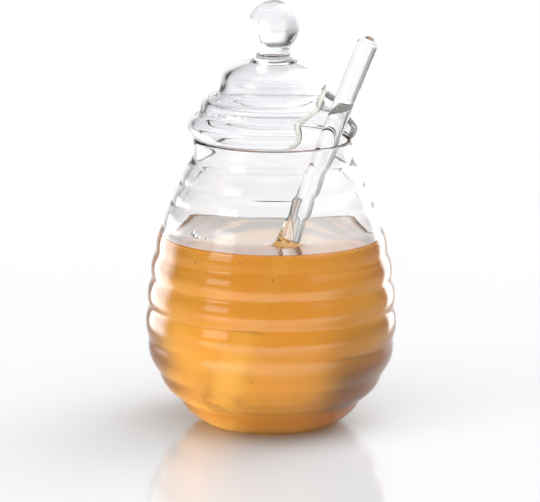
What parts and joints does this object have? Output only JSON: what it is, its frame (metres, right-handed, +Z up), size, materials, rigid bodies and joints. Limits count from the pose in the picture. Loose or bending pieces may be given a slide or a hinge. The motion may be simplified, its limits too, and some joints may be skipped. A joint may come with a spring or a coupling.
{
  "type": "glass honey pot",
  "caption": "Ribbed beehive glass jar of honey with a domed glass lid, ball knob, rim notch and a leaning glass dipper.",
  "frame": {"origin": "on the pot's axis, at the middle of the flat foot it stands on", "axes": "+Z up along the pot's axis, -Y towards the front, the lid's notch and the dipper's tip towards the front right (+X, -Y)"},
  "size_m": [0.09, 0.09, 0.1522],
  "materials": {
    "jar_glass": "clear mould-blown borosilicate glass",
    "honey": "clear amber runny honey, glossy",
    "lid_glass": "clear mould-blown borosilicate glass, fire-polished edge",
    "dipper_glass": "clear lampworked borosilicate rod"
  },
  "bodies": {
    "root": {"jar": "jar_glass", "honey": "honey", "lid": "lid_glass", "dipper": "dipper_glass"}
  },
  "joints": []
}
